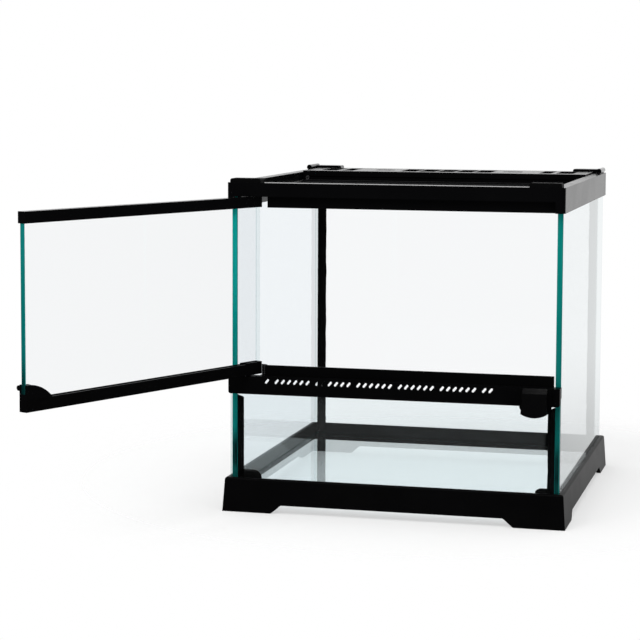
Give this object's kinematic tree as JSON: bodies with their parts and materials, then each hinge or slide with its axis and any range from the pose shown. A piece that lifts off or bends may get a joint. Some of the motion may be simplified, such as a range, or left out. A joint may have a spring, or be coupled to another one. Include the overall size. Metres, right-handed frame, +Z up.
{
  "type": "reptile terrarium",
  "caption": "Cube-shaped glass terrarium with black plastic frames, a ventilated front rail, a side-hinged glass door, a turning lock and a lift-out screen top.",
  "frame": {"origin": "centre of the base frame, on the floor", "axes": "+X towards the lock side of the front, +Y towards the back, +Z up"},
  "size_m": [0.4104, 0.5648, 0.3047],
  "materials": {
    "glass": "clear float glass with polished green edges",
    "gloss_black": "moulded gloss black",
    "satin_black": "moulded satin black",
    "sealant": "black silicone sealant",
    "mesh": "black coated wire mesh",
    "steel": "bright steel"
  },
  "bodies": {
    "enclosure": {"base_frame": "gloss_black", "glazing_bed": "sealant", "floor_pane": "glass", "left_pane": "glass", "right_pane": "glass", "back_pane": "glass", "front_pane": "glass", "rear_corner_beads": "sealant", "front_corner_beads": "sealant", "vent_rail": "gloss_black", "lock_housing": "gloss_black", "top_frame": "gloss_black", "front_corner_caps": "gloss_black", "rear_corner_caps": "gloss_black", "rear_panel": "gloss_black", "vent_mesh": "mesh", "panel_screws": "steel"},
    "door": {"door_pane": "glass", "door_top_rail": "gloss_black", "door_lower_rail": "gloss_black", "door_corner_block": "gloss_black", "door_pull": "gloss_black", "upper_hinge_pin": "steel", "lower_hinge_pin": "steel"},
    "lock": {"lock_knob": "gloss_black", "lock_spindle": "steel", "lock_tongue": "steel"},
    "screen_lid": {"screen_frame": "gloss_black", "screen_mesh": "mesh"},
    "left_cover": {"left_cable_cover": "satin_black"},
    "right_cover": {"right_cable_cover": "satin_black"}
  },
  "joints": [
    {"name": "door_hinge", "type": "hinge", "parent": "enclosure", "child": "door", "pos_m": [-0.1323, -0.1538, 0.2], "axis": [0, 0, 1], "range_deg": [-37, 114.5]},
    {"name": "lock_turn", "type": "hinge", "parent": "enclosure", "child": "lock", "pos_m": [0.1295, -0.155, 0.11405], "axis": [0, 1, 0], "range_deg": [0, 90]},
    {"name": "screen_lift", "type": "slide", "parent": "enclosure", "child": "screen_lid", "axis": [0, 0, 1], "range_m": [0, 0.05]},
    {"name": "left_cover_slide", "type": "slide", "parent": "enclosure", "child": "left_cover", "axis": [-1, 0, 0], "range_m": [0, 0.014]},
    {"name": "right_cover_slide", "type": "slide", "parent": "enclosure", "child": "right_cover", "axis": [1, 0, 0], "range_m": [0, 0.014]}
  ]
}
